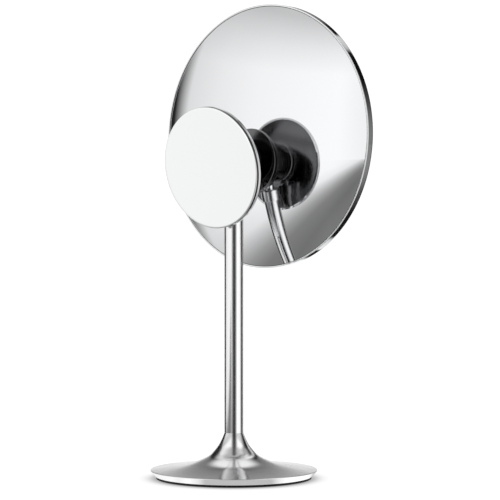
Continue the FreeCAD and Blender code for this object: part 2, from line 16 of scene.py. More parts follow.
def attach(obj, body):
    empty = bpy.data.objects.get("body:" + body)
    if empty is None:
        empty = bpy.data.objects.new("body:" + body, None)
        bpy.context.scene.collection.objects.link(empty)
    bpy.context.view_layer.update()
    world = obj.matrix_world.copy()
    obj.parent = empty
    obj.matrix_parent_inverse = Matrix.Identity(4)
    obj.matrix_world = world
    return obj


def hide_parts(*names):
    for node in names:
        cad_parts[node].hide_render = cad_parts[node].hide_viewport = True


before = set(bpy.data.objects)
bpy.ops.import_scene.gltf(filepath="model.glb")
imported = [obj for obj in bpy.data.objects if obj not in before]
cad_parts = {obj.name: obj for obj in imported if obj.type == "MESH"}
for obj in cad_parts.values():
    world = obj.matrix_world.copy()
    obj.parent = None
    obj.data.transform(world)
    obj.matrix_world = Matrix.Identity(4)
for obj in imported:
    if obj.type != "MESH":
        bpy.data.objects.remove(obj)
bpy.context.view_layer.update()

MM = 0.001
log = logging.getLogger("shaving_mirror")

Point = tuple[float, float]
Triple = tuple[float, float, float]
Stops = list[Point]

# Usual lowest and highest value of a noise texture.
NOISE_LOW, NOISE_HIGH = 0.3, 0.7
# Millimetres within which a point counts as on the axis, and metres within which two points are one.
ON_AXIS, SAME_SPOT = 1e-6, 1e-7
# Most that a rounding and its support points take of an edge, and how far the support points lie out.
EDGE_SHARE, SUPPORT_SHARE, SUPPORT_REACH = 0.45, 0.49, 1.6
EDGE_STEPS = 4
# Degrees past which an edge is shaded sharp, on a turned piece and on a cut one.
SMOOTH_LIMIT, CUT_LIMIT = 32.0, 25.0
# Steps in a full turn.
ROUND, FINE_ROUND, FINEST_ROUND, BAR_ROUND = 192, 256, 288, 96


class Axis(Enum):
    """The line that a turned piece is built round."""

    STEM = "stem"
    HUB = "hub"
    HEAD = "head"
    TONGUE = "tongue"


class Body(Enum):
    """The bodies of the CAD model that new pieces ride on."""

    BASE = "base"
    POST = "post"
    HUB = "hub"
    HEAD = "head"


@dataclass(frozen=True)
class Layout:
    """Where the hub, the tongue and the mirror head sit on the stem.

    Attributes:
        hinge_z: Height of the hub's tilt pin.
        hub_tilt: How far the hub looks up, in degrees.
        hub_back: From the small mirror's face to the tilt pin.
        knuckle_step: From the tilt pin to the tongue's pin.
        mirror_z: Height of the large mirror's centre.
    """

    hinge_z: float = 235.0
    hub_tilt: float = 10.1
    hub_back: float = 27.3
    knuckle_step: float = 8.9
    mirror_z: float = 255.7

    def matrix(self, axis: Axis) -> Matrix:
        """Gives the placement of a piece that is turned round an axis.

        Args:
            axis: Which line the piece is turned round.

        Returns:
            The matrix from the piece's own axes to the model's.
        """
        tilt = math.radians(self.hub_tilt)
        if axis is Axis.STEM:
            return Matrix.Identity(4)
        if axis is Axis.HUB:
            spot = Vector((0, self.hub_back * math.cos(tilt), self.hinge_z - self.hub_back * math.sin(tilt)))
            turn = math.radians(90 - self.hub_tilt)
        else:
            tongue_z = self.hinge_z + self.knuckle_step * math.sin(tilt)
            height = self.mirror_z if axis is Axis.HEAD else tongue_z
            spot, turn = Vector((0, 0, height)), math.radians(90)
        return Matrix.Translation(spot * MM) @ Matrix.Rotation(turn, 4, "X")

    @property
    def tongue_depth(self) -> float:
        """Distance of the tongue's pin in front of the stem's axis."""
        return self.knuckle_step * math.cos(math.radians(self.hub_tilt))


LAYOUT = Layout()


# ---------------------------------------------------------------------------- finishes
class Finish:
    """A procedural material, made once and shared by the pieces that have it."""

    name: str
    made: dict[str, bpy.types.Material] = {}

    def build(self) -> bpy.types.Material:
        """Makes the material the first time it is asked for.

        Returns:
            The material of this finish.
        """
        if self.name not in Finish.made:
            material = bpy.data.materials.new(self.name)
            material.use_nodes = True
            shader = material.node_tree.nodes["Principled BSDF"]
            self.fill(material.node_tree, shader)
            Finish.made[self.name] = material
        return Finish.made[self.name]

    def fill(self, tree: bpy.types.NodeTree, shader: bpy.types.Node) -> None:
        """Sets the shader's sockets and adds the finish's own texture nodes.

        Args:
            tree: The material's nodes.
            shader: The material's shader.
        """
        raise NotImplementedError


def noise(tree: bpy.types.NodeTree, scale: float, detail: float,
          stretch: Triple = (1, 1, 1)) -> bpy.types.Node:
    """Adds a noise texture in object space.

    Args:
        tree: The material's nodes.
        scale: Features per metre.
        detail: Octaves of finer noise.
        stretch: Scale of the noise along X, Y and Z.

    Returns:
        The noise node.
    """
    place = tree.nodes.new("ShaderNodeTexCoord")
    mapping = tree.nodes.new("ShaderNodeMapping")
    mapping.inputs["Scale"].default_value = stretch
    texture = tree.nodes.new("ShaderNodeTexNoise")
    texture.inputs["Scale"].default_value = scale
    texture.inputs["Detail"].default_value = detail
    tree.links.new(place.outputs["Object"], mapping.inputs["Vector"])
    tree.links.new(mapping.outputs["Vector"], texture.inputs["Vector"])
    return texture


def spread(tree: bpy.types.NodeTree, source: bpy.types.NodeSocket, low: float,
           high: float) -> bpy.types.NodeSocket:
    """Maps the usual values of a noise texture onto a range.

    Args:
        tree: The material's nodes.
        source: The texture's value.
        low: Result where the texture is low.
        high: Result where the texture is high.

    Returns:
        The socket that carries the result.
    """
    ranged = tree.nodes.new("ShaderNodeMapRange")
    ranged.inputs["From Min"].default_value = NOISE_LOW
    ranged.inputs["From Max"].default_value = NOISE_HIGH
    ranged.inputs["To Min"].default_value = low
    ranged.inputs["To Max"].default_value = high
    tree.links.new(source, ranged.inputs["Value"])
    return ranged.outputs["Result"]


def bump(tree: bpy.types.NodeTree, shader: bpy.types.Node, height: bpy.types.NodeSocket,
         strength: float, distance: float) -> None:
    """Raises the surface by a texture.

    Args:
        tree: The material's nodes.
        shader: The material's shader.
        height: The texture's value.
        strength: Share of the effect.
        distance: Height of the texture in metres.
    """
    node = tree.nodes.new("ShaderNodeBump")
    node.inputs["Strength"].default_value = strength
    node.inputs["Distance"].default_value = distance
    tree.links.new(height, node.inputs["Height"])
    tree.links.new(node.outputs["Normal"], shader.inputs["Normal"])


@dataclass(frozen=True)
class Plating(Finish):
    """Plated metal, from near mirror to satin, with faint marks.

    Attributes:
        name: The material's name.
        colour: What the metal reflects.
        clean: Roughness of the clean surface.
        worn: Roughness in the faint marks.
        marks: Marks per metre.
        brushed: Share of brushing round the stem's axis.
        detail: Octaves of finer marks.
        stretch: Scale of the marks along X, Y and Z.
    """

    name: str
    colour: Triple
    clean: float
    worn: float
    marks: float = 22.0
    brushed: float = 0.0
    detail: float = 3.0
    stretch: Triple = (1, 1, 2.5)

    def fill(self, tree: bpy.types.NodeTree, shader: bpy.types.Node) -> None:
        """Sets a metal whose roughness drifts, and draws its gloss out where it is brushed.

        Args:
            tree: The material's nodes.
            shader: The material's shader.
        """
        shader.inputs["Base Color"].default_value = (*self.colour, 1)
        shader.inputs["Metallic"].default_value = 1.0
        texture = noise(tree, self.marks, self.detail, self.stretch)
        gloss = spread(tree, texture.outputs["Fac"], self.clean, self.worn)
        tree.links.new(gloss, shader.inputs["Roughness"])
        if self.brushed:
            shader.inputs["Anisotropic"].default_value = self.brushed
            round_about = tree.nodes.new("ShaderNodeTangent")
            round_about.direction_type, round_about.axis = "RADIAL", "Z"
            tree.links.new(round_about.outputs["Tangent"], shader.inputs["Tangent"])


@dataclass(frozen=True)
class SilveredGlass(Finish):
    """The face of a mirror: silver behind glass.

    Attributes:
        name: The material's name.
        colour: What the silver reflects through the glass.
        coat: Share of the glass's own gloss.
        marks: Patches of haze per metre.
        detail: Octaves of finer haze.
        haze: Roughness in the haze.
    """

    name: str = "silvered_glass"
    colour: Triple = (0.89, 0.9, 0.898)
    coat: float = 0.3
    marks: float = 14.0
    detail: float = 2.0
    haze: float = 0.012

    def fill(self, tree: bpy.types.NodeTree, shader: bpy.types.Node) -> None:
        """Sets a clean mirror with a clear coat for the glass in front of the silver.

        Args:
            tree: The material's nodes.
            shader: The material's shader.
        """
        shader.inputs["Base Color"].default_value = (*self.colour, 1)
        shader.inputs["Metallic"].default_value = 1.0
        shader.inputs["Coat Weight"].default_value = self.coat
        shader.inputs["Coat Roughness"].default_value = 0.0
        patches = noise(tree, self.marks, self.detail)
        gloss = spread(tree, patches.outputs["Fac"], 0.0, self.haze)
        tree.links.new(gloss, shader.inputs["Roughness"])


@dataclass(frozen=True)
class GlossBlack(Finish):
    """Moulded gloss black plastic.

    Attributes:
        name: The material's name.
        colour: Colour of the plastic.
        coat: Share of the clear gloss on it.
        coat_rough: Roughness of that gloss.
        peel: Waves of orange peel per metre.
        detail: Octaves of finer waves.
        clean: Roughness of the smooth parts.
        worn: Roughness of the dull parts.
        relief: Share of the waves' relief.
        depth: Height of the waves in metres.
    """

    name: str = "gloss_black_plastic"
    colour: Triple = (0.012, 0.012, 0.013)
    coat: float = 0.6
    coat_rough: float = 0.03
    peel: float = 60.0
    detail: float = 2.0
    clean: float = 0.10
    worn: float = 0.18
    relief: float = 0.02
    depth: float = 0.00005

    def fill(self, tree: bpy.types.NodeTree, shader: bpy.types.Node) -> None:
        """Sets a dark glossy plastic with a trace of orange peel.

        Args:
            tree: The material's nodes.
            shader: The material's shader.
        """
        shader.inputs["Base Color"].default_value = (*self.colour, 1)
        shader.inputs["Coat Weight"].default_value = self.coat
        shader.inputs["Coat Roughness"].default_value = self.coat_rough
        waves = noise(tree, self.peel, self.detail)
        gloss = spread(tree, waves.outputs["Fac"], self.clean, self.worn)
        tree.links.new(gloss, shader.inputs["Roughness"])
        bump(tree, shader, waves.outputs["Fac"], self.relief, self.depth)


@dataclass(frozen=True)
class MattFinish(Finish):
    """A matt, slightly grainy surface such as rubber, foam, nylon or cast iron.

    Attributes:
        name: The material's name.
        colour: The lighter tone.
        shade: The darker tone.
        grain: Grains per metre.
        rough: Roughness of the surface.
        depth: Height of the grain in metres.
        metal: Share of metal in the look.
        detail: Octaves of finer grain.
        dark_rough: Roughness of the darker tone, as a share of the lighter tone's.
        gloss: Strength of the highlights.
        relief: Share of the grain's relief.
    """

    name: str
    colour: Triple
    shade: Triple
    grain: float
    rough: float
    depth: float
    metal: float = 0.0
    detail: float = 6.0
    dark_rough: float = 0.85
    gloss: float = 0.2
    relief: float = 0.4

    def fill(self, tree: bpy.types.NodeTree, shader: bpy.types.Node) -> None:
        """Mixes two tones by a grain and raises the grain a little.

        Args:
            tree: The material's nodes.
            shader: The material's shader.
        """
        grain = noise(tree, self.grain, self.detail)
        mix = tree.nodes.new("ShaderNodeMix")
        mix.data_type = "RGBA"
        mix.inputs["A"].default_value = (*self.shade, 1)
        mix.inputs["B"].default_value = (*self.colour, 1)
        tree.links.new(spread(tree, grain.outputs["Fac"], 0.0, 1.0), mix.inputs["Factor"])
        tree.links.new(mix.outputs["Result"], shader.inputs["Base Color"])
        shader.inputs["Metallic"].default_value = self.metal
        rough = spread(tree, grain.outputs["Fac"], self.rough * self.dark_rough, self.rough)
        tree.links.new(rough, shader.inputs["Roughness"])
        shader.inputs["Specular IOR Level"].default_value = self.gloss
        bump(tree, shader, grain.outputs["Fac"], self.relief, self.depth)


@dataclass(frozen=True)
class BrushedSteel(Finish):
    """Machined steel with fine lines across one axis.

    Attributes:
        name: The material's name.
        colour: What the metal reflects.
        lines: Scale of the lines along X, Y and Z.
        drawn: How far the gloss is drawn out.
        marks: Lines per metre.
        detail: Octaves of finer lines.
        clean: Roughness on the lines' crests.
        worn: Roughness between them.
        relief: Share of the lines' relief.
        depth: Depth of the lines in metres.
    """

    name: str
    colour: Triple = (0.60, 0.61, 0.63)
    lines: Triple = (1, 1, 40)
    drawn: float = 0.4
    marks: float = 60.0
    detail: float = 4.0
    clean: float = 0.22
    worn: float = 0.38
    relief: float = 0.15
    depth: float = 0.0001

    def fill(self, tree: bpy.types.NodeTree, shader: bpy.types.Node) -> None:
        """Sets a metal whose roughness and height follow stretched noise.

        Args:
            tree: The material's nodes.
            shader: The material's shader.
        """
        shader.inputs["Base Color"].default_value = (*self.colour, 1)
        shader.inputs["Metallic"].default_value = 1.0
        shader.inputs["Anisotropic"].default_value = self.drawn
        marks = noise(tree, self.marks, self.detail, self.lines)
        gloss = spread(tree, marks.outputs["Fac"], self.clean, self.worn)
        tree.links.new(gloss, shader.inputs["Roughness"])
        bump(tree, shader, marks.outputs["Fac"], self.relief, self.depth)


CHROME = Plating("polished_chrome", (0.86, 0.865, 0.875), 0.02, 0.05)
SATIN = Plating("satin_chrome", (0.86, 0.86, 0.865), 0.12, 0.15, marks=60.0, brushed=0.9)
NICKEL = Plating("black_nickel", (0.15, 0.15, 0.154), 0.10, 0.16)
SILVERED = SilveredGlass()
BLACK = GlossBlack()
PAD_RUBBER = MattFinish("foot_pad_rubber", (0.016, 0.016, 0.016), (0.008, 0.008, 0.008), 900, 0.9, 0.0002)
SEAL_RUBBER = MattFinish("seal_rubber", (0.03, 0.03, 0.03), (0.012, 0.012, 0.012), 500, 0.6, 0.0001)
FOAM = MattFinish("backing_foam", (0.11, 0.11, 0.115), (0.05, 0.05, 0.055), 700, 0.95, 0.0003)
NYLON = MattFinish("white_nylon", (0.82, 0.81, 0.77), (0.74, 0.73, 0.69), 300, 0.45, 0.0001)
IRON = MattFinish("cast_iron", (0.14, 0.14, 0.145), (0.06, 0.06, 0.065), 450, 0.75, 0.0004, metal=0.7)
STEEL = BrushedSteel("turned_steel")
ZINC = BrushedSteel("zinc_plated_steel", (0.66, 0.67, 0.70), (30, 1, 1))


# ---------------------------------------------------------------------------- shapes
def arc(start: Point, end: Point, radius: float, above: bool, steps: int) -> list[Point]:
    """Gives points on the arc from start to end, without the end.

    Args:
        start: First point, as radius and height.
        end: Last point.
        radius: The arc's radius.
        above: True if its centre lies above the chord.
        steps: How many points to give.

    Returns:
        The points, in order.
    """
    (r0, z0), (r1, z1) = start, end
    chord = math.hypot(r1 - r0, z1 - z0)
    nr, nz = -(z1 - z0) / chord, (r1 - r0) / chord
    if (nz > 0) != above:
        nr, nz = -nr, -nz
    rise = math.sqrt(radius ** 2 - chord ** 2 / 4)
    cr, cz = (r0 + r1) / 2 + nr * rise, (z0 + z1) / 2 + nz * rise
    a0, a1 = math.atan2(z0 - cz, r0 - cr), math.atan2(z1 - cz, r1 - cr)
    while a1 - a0 > math.pi:
        a1 -= 2 * math.pi
    while a0 - a1 > math.pi:
        a1 += 2 * math.pi
    angles = [a0 + (a1 - a0) * i / steps for i in range(steps)]
    return [(cr + radius * math.cos(a), cz + radius * math.sin(a)) for a in angles]


def eased(outline: list[Point], edge: float, keep: tuple[int, ...] = ()) -> list[Point]:
    """Rounds the corners of a closed outline and adds support points beside them.

    Args:
        outline: Corners as radius and height; those on the axis stay sharp.
        edge: Radius of the rounding.
        keep: Corners that stay as they are.

    Returns:
        The finer outline.
    """
    points: list[Point] = []
    for i, corner in enumerate(outline):
        before, after = Vector(outline[i - 1]), Vector(outline[(i + 1) % len(outline)])
        here = Vector(corner)
        if i in keep or corner[0] < ON_AXIS:
            points.append(corner)
            continue
        u, v = before - here, after - here
        reach = min(edge, u.length * EDGE_SHARE, v.length * EDGE_SHARE)
        a, b = here + u.normalized() * reach, here + v.normalized() * reach
        side_a = here + u.normalized() * min(reach * SUPPORT_REACH, u.length * SUPPORT_SHARE)
        side_b = here + v.normalized() * min(reach * SUPPORT_REACH, v.length * SUPPORT_SHARE)
        points.append(tuple(side_a))
        for step in range(EDGE_STEPS + 1):
            w = step / EDGE_STEPS
            points.append(tuple(a * (1 - w) ** 2 + here * 2 * w * (1 - w) + b * w ** 2))
        points.append(tuple(side_b))
    return points


def linked(name: str, data: bpy.types.ID) -> bpy.types.Object:
    """Puts a mesh, a lamp or a camera into the scene as an object.

    Args:
        name: The object's name.
        data: What it holds.

    Returns:
        The new object.
    """
    thing = bpy.data.objects.new(name, data)
    bpy.context.collection.objects.link(thing)
    return thing


def placed(name: str, bm: bmesh.types.BMesh, matrix: Matrix) -> bpy.types.Object:
    """Makes an object of a mesh under construction.

    Args:
        name: The object's name.
        bm: The mesh, which is freed.
        matrix: Where it goes.

    Returns:
        The new object, in place.
    """
    mesh = bpy.data.meshes.new(name)
    bm.to_mesh(mesh)
    bm.free()
    mesh.transform(matrix)
    return linked(name, mesh)


def turned(name: str, outline: list[Point], axis: Axis, around: int = ROUND) -> bpy.types.Object:
    """Turns a closed outline round an axis into a smooth mesh.

    Args:
        name: The object's name.
        outline: Points as radius and height, in millimetres.
        axis: The line it is turned round.
        around: How many steps there are in a full turn.

    Returns:
        The new object, in place.
    """
    bm = bmesh.new()
    rings: list[list[bmesh.types.BMVert]] = []
    for radius, height in outline:
        if radius < ON_AXIS:
            rings.append([bm.verts.new((0, 0, height * MM))])
            continue
        rings.append([
            bm.verts.new((radius * MM * math.cos(t), radius * MM * math.sin(t), height * MM))
            for t in (2 * math.pi * k / around for k in range(around))
        ])
    for here, there in zip(rings, rings[1:] + rings[:1]):
        if len(here) == 1 and len(there) == 1:
            continue
        for k in range(around):
            n = (k + 1) % around
            if len(here) == 1:
                bm.faces.new((here[0], there[n], there[k]))
            elif len(there) == 1:
                bm.faces.new((here[k], here[n], there[0]))
            else:
                bm.faces.new((here[k], here[n], there[n], there[k]))
    bmesh.ops.recalc_face_normals(bm, faces=bm.faces)
    soften(bm, SMOOTH_LIMIT)
    return placed(name, bm, LAYOUT.matrix(axis))


def soften(bm: bmesh.types.BMesh, limit: float) -> None:
    """Shades a mesh smooth but for its sharp edges.

    Args:
        bm: The mesh.
        limit: Angle in degrees past which an edge is sharp.
    """
    for face in bm.faces:
        face.smooth = True
    for edge in bm.edges:
        if len(edge.link_faces) == 2:
            edge.smooth = edge.calc_face_angle(0.0) < math.radians(limit)


def block(name: str, low: Triple, high: Triple, axis: Axis) -> bpy.types.Object:
    """Makes a plain box to cut or join with.

    Args:
        name: The object's name.
        low: Lowest corner in millimetres, in the axis's own frame.
        high: Highest corner.
        axis: The frame it lies in.

    Returns:
        The box.
    """
    bm = bmesh.new()
    bmesh.ops.create_cube(bm, size=1.0)
    for vert in bm.verts:
        vert.co = Vector([(lo + (hi - lo) * (c + 0.5)) * MM for lo, hi, c in zip(low, high, vert.co)])
    return placed(name, bm, LAYOUT.matrix(axis))


def cross_bar(name: str, radius: float, half: float, height: float, axis: Axis) -> bpy.types.Object:
    """Makes a round bar along X to cut or join with.

    Args:
        name: The object's name.
        radius: The bar's radius in millimetres.
        half: Half its length.
        height: Where its axis crosses the frame's own Z.
        axis: The frame it lies in.

    Returns:
        The bar.
    """
    bm = bmesh.new()
    bmesh.ops.create_cone(bm, cap_ends=True, segments=BAR_ROUND, radius1=radius * MM, radius2=radius * MM,
                          depth=2 * half * MM)
    across = Matrix.Translation((0, 0, height * MM)) @ Matrix.Rotation(math.pi / 2, 4, "Y")
    return placed(name, bm, LAYOUT.matrix(axis) @ across)


def shape_with(base: bpy.types.Object, tool: bpy.types.Object, operation: str) -> None:
    """Cuts a tool from a piece or joins it on, and removes the tool.

    Args:
        base: The piece that stays.
        tool: The tool, which is removed.
        operation: "DIFFERENCE" or "UNION".
    """
    modifier = base.modifiers.new("shape", "BOOLEAN")
    modifier.operation, modifier.object, modifier.solver = operation, tool, "EXACT"
    depsgraph = bpy.context.evaluated_depsgraph_get()
    mesh = bpy.data.meshes.new_from_object(base.evaluated_get(depsgraph))
    base.modifiers.clear()
    base.data = mesh
    bpy.data.objects.remove(tool)
    bm = bmesh.new()
    bm.from_mesh(mesh)
    bmesh.ops.remove_doubles(bm, verts=bm.verts, dist=SAME_SPOT)
    soften(bm, CUT_LIMIT)
    bm.to_mesh(mesh)
    bm.free()


class Assembly:
    """A group of pieces that ride on the CAD bodies."""

    def fit(self, piece: bpy.types.Object, finish: Finish, body: Body, slot: str,
            *nodes: str) -> bpy.types.Object:
        """Dresses a new piece, lets it ride and lets it stand for CAD nodes.

        Args:
            piece: The new object.
            finish: Its finish.
            body: The body it moves with.
            slot: The record's material slot; not used.
            *nodes: CAD nodes that it replaces.

        Returns:
            The same object.
        """
        piece.data.materials.clear()
        piece.data.materials.append(finish.build())
        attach(piece, body.value)
        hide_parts(*nodes)
        log.info("%s stands for %s on %s", piece.name, ", ".join(nodes), body.value)
        return piece

    def dress(self, finish: Finish, *nodes: str) -> None:
        """Gives CAD nodes that stay as they are a finish.

        Args:
            finish: The finish.
            *nodes: The nodes.
        """
        for name in nodes:
            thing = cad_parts[name]
            for place in thing.material_slots:
                place.material = finish.build()
            log.info("%s keeps its CAD shape in %s", name, finish.name)

    def turn(self, name: str, outline: list[Point], axis: Axis, finish: Finish, body: Body, slot: str,
             around: int = ROUND) -> bpy.types.Object:
        """Turns a piece that stands for the CAD node of its own name and dresses it.

        Args:
            name: The CAD node's name.
            outline: Its profile as radius and height, in millimetres.
            axis: The line it is turned round.
            finish: Its finish.
            body: The body it moves with.
            slot: The record's material slot.
            around: Steps in a full turn.

        Returns:
            The new piece.
        """
        return self.fit(turned(f"{name}_look", outline, axis, around), finish, body, slot, name)


def spline(points: list[Point], steps: int) -> list[Point]:
    """Runs a natural cubic spline through points, spaced by their distance.

    Args:
        points: Points to pass through.
        steps: Steps between each two of them.

    Returns:
        The finer line, ends included.
    """
    at = [0.0]
    for a, b in zip(points, points[1:]):
        at.append(at[-1] + math.dist(a, b))
    gaps = [b - a for a, b in zip(at, at[1:])]
    bends = []
    for k in (0, 1):
        value = [p[k] for p in points]
        lower, middle = [0.0] * len(points), [0.0] * len(points)
        for i in range(1, len(points) - 1):
            left, right = gaps[i - 1], gaps[i]
            pull = 6 * ((value[i + 1] - value[i]) / right - (value[i] - value[i - 1]) / left)
            pivot = 2 * (left + right) - left * lower[i - 1]
            lower[i], middle[i] = right / pivot, (pull - left * middle[i - 1]) / pivot
        bend = [0.0] * len(points)
        for i in range(len(points) - 2, 0, -1):
            bend[i] = middle[i] - lower[i] * bend[i + 1]
        bends.append(bend)
    line: list[Point] = []
    for i, gap in enumerate(gaps):
        for step in range(steps):
            u = step / steps
            w = 1 - u
            left, right = (w ** 3 - w) * gap ** 2 / 6, (u ** 3 - u) * gap ** 2 / 6
            line.append(tuple(w * points[i][k] + u * points[i + 1][k]
                              + left * bends[k][i] + right * bends[k][i + 1] for k in (0, 1)))
    return line + [points[-1]]


# ---------------------------------------------------------------------------- sub-assemblies
@dataclass
class WeightedBase(Assembly):
    """The flared foot with its cast weight, rubber pad and fixings.

    Attributes:
        stem_r: Radius at the neck.
        rim_r: Radius at the rim.
        neck_z: Height of the neck.
        rim_z: Height of the rim.
        skin: Thickness of the spun metal.
        pad_r: Radius of the pad.
        pad_h: Height of the pad.
        rim_edge: Height of the rim's straight edge.
        rim_fold: Width of the fold inside the rim.
        fold_drop: How far the fold lies under the rim.
        lip: Half the width of the lip that rests on the pad.
        hole_r: Radius of the hole in the neck.
        neck_edge: Thickness of the metal at that hole.
        edge: Rounding of the rim's corners.
        pad_edge: Rounding of the pad's corners.
        steps: Steps between two rows of the flare.
        inner_from: First row of the flare that has room for an inner skin.
        flare: Rows of flare share, drop share and outward direction, from the neck to the rim.
    """

    stem_r: float = 7.0
    rim_r: float = 62.1
    neck_z: float = 33.7
    rim_z: float = 6.3
    skin: float = 1.2
    pad_r: float = 57.9
    pad_h: float = 1.5
    rim_edge: float = 0.6
    rim_fold: float = 1.9
    fold_drop: float = 1.0
    lip: float = 0.4
    hole_r: float = 5.0
    neck_edge: float = 0.5
    edge: float = 0.35
    pad_edge: float = 0.12
    steps: int = 10
    inner_from: int = 3
    flare: list[tuple[float, float, float, float]] = field(default_factory=lambda: [
        (0.0000, 1.0000, 1.000, 0.000), (0.0035, 0.9820, 0.985, 0.174), (0.0181, 0.9088, 0.940, 0.342),
        (0.0427, 0.7993, 0.900, 0.436), (0.0830, 0.6540, 0.850, 0.527), (0.1343, 0.5255, 0.740, 0.673),
        (0.1924, 0.4015, 0.610, 0.792), (0.2849, 0.2920, 0.460, 0.888), (0.4102, 0.1860, 0.300, 0.954),
        (0.6000, 0.0960, 0.190, 0.982), (0.8000, 0.0400, 0.130, 0.992), (1.0000, 0.0000, 0.100, 0.995),
    ])

    def skin_point(self, row: tuple[float, float, float, float], depth: float) -> Point:
        """Gives a point under the flared skin.

        Args:
            row: A row of the flare.
            depth: How far under the skin the point lies.

        Returns:
            The point, as radius and height.
        """
        share, drop, nr, nz = row
        return (self.stem_r + share * (self.rim_r - self.stem_r) - depth * nr,
                self.rim_z + drop * (self.neck_z - self.rim_z) - depth * nz)

    def build(self) -> None:
        """Builds the pad and the flared skin and dresses what is inside."""
        outer = spline([self.skin_point(row, 0.0) for row in self.flare], self.steps)
        inner = [self.skin_point(row, self.skin) for row in self.flare[self.inner_from:-1]]
        inner.reverse()
        rim = [(self.rim_r, self.rim_z - self.rim_edge), (self.pad_r + self.lip, self.pad_h),
               (self.pad_r - 2 * self.lip, self.pad_h)]
        fold = [(self.rim_r - self.rim_fold, self.rim_z - self.fold_drop)]
        neck = [(self.hole_r, self.neck_z - self.neck_edge), (self.hole_r, self.neck_z)]
        outline = outer + rim + fold + inner + neck
        curved = tuple(range(len(outer) - 1)) + tuple(range(len(outer + rim), len(outline)))
        shell = eased(outline, self.edge, curved)
        self.turn("base_shell", shell, Axis.STEM, SATIN, Body.BASE, "satin_chrome", FINE_ROUND)
        pad = [(0, 0), (self.pad_r, 0), (self.pad_r, self.pad_h), (0, self.pad_h)]
        self.turn("foot_pad", eased(pad, self.pad_edge), Axis.STEM, PAD_RUBBER, Body.BASE, "black_rubber",
                  FINE_ROUND)
        self.dress(STEEL, "base_plate", "stem_plug")
        self.dress(ZINC, "base_screws", "stem_bolt", "stem_washer")
        self.dress(IRON, "base_ballast")


@dataclass
class TelescopicStem(Assembly):
    """The stem tube with its collar and the rod that slides in it.

    Attributes:
        stem_r: Radius of the tube.
        wall: Thickness of the tube.
        neck_z: Where the tube starts.
        top_z: Where the tube ends.
        rod_r: Radius of the rod.
        rod_foot: Where the rod's full radius starts.
        flat_x: Half the rod's width across its flats.
        flat_z: Where the flats start.
        eye_r: Radius of the rod's eye.
        pin_r: Radius of the hole in the eye.
        collar_r: Radius of the collar.
        collar_z: Where the collar starts.
        collar_top: Where it ends.
        collar_bevel: Width of the bevel at its top.
        bush_lip: Height of the bush's lip under the collar.
        run_gap: Gap between the collar and the tube.
        part_gap: Gap between the collar and the rod.
        spigot_r: Radius of the rod's spigot.
        spigot_len: Length of the spigot.
        edge: Rounding of the tube's and the rod's corners.
        collar_edge: Rounding of the collar's corners.
        spare: How far a cut runs past the rod's eye.
    """

    stem_r: float = 7.0
    wall: float = 1.0
    neck_z: float = 33.7
    top_z: float = 206.5
    rod_r: float = 4.0
    rod_foot: float = 90.0
    flat_x: float = 3.4
    flat_z: float = 216.0
    eye_r: float = 4.0
    pin_r: float = 1.8
    collar_r: float = 8.6
    collar_z: float = 201.0
    collar_top: float = 211.0
    collar_bevel: float = 1.0
    bush_lip: float = 1.2
    run_gap: float = 0.05
    part_gap: float = 0.4
    spigot_r: float = 2.5
    spigot_len: float = 9.0
    edge: float = 0.12
    collar_edge: float = 0.3
    spare: float = 2.0

    def build(self) -> None:
        """Builds tube, collar and rod and dresses the sliding parts inside."""
        bore = self.stem_r - self.wall
        tube = [(bore, self.neck_z), (self.stem_r, self.neck_z),
                (self.stem_r, self.top_z), (bore, self.top_z)]
        self.turn("stem_tube", eased(tube, self.edge), Axis.STEM, SATIN, Body.BASE, "satin_chrome")
        wide, narrow = self.stem_r + self.run_gap, self.rod_r + self.part_gap
        shoulder, top = self.top_z + self.bush_lip, self.collar_top
        rim, bevel = self.collar_r, self.collar_bevel
        collar = [(wide, self.collar_z), (rim, self.collar_z), (rim, top - bevel), (rim - bevel, top),
                  (narrow, top), (narrow, shoulder), (wide, shoulder)]
        self.turn("stem_collar", eased(collar, self.collar_edge), Axis.STEM, SATIN, Body.BASE, "satin_chrome")
        self.rod()
        self.dress(NYLON, "guide_bush", "friction_piston")
        self.dress(SEAL_RUBBER, "piston_ring")
        self.dress(ZINC, "rod_washer", "rod_screw")

    def rod(self) -> None:
        """Builds the rod with its spigot, its two flats and its eye."""
        foot, top = self.rod_foot, LAYOUT.hinge_z
        bar = [(0, foot - self.spigot_len), (self.spigot_r, foot - self.spigot_len), (self.spigot_r, foot),
               (self.rod_r, foot), (self.rod_r, top), (0, top)]
        rod = turned("inner_rod_look", eased(bar, self.edge), Axis.STEM)
        wide = 2 * self.rod_r
        for sign in (-1, 1):
            low, high = sorted((sign * self.flat_x, sign * wide))
            flat = block("flat", (low, -wide, self.flat_z), (high, wide, top + self.spare), Axis.STEM)
            shape_with(rod, flat, "DIFFERENCE")
        shape_with(rod, cross_bar("eye", self.eye_r, self.flat_x, top, Axis.STEM), "UNION")
        shape_with(rod, cross_bar("eye_hole", self.pin_r, wide, top, Axis.STEM), "DIFFERENCE")
        self.fit(rod, CHROME, Body.POST, "chrome", "inner_rod")


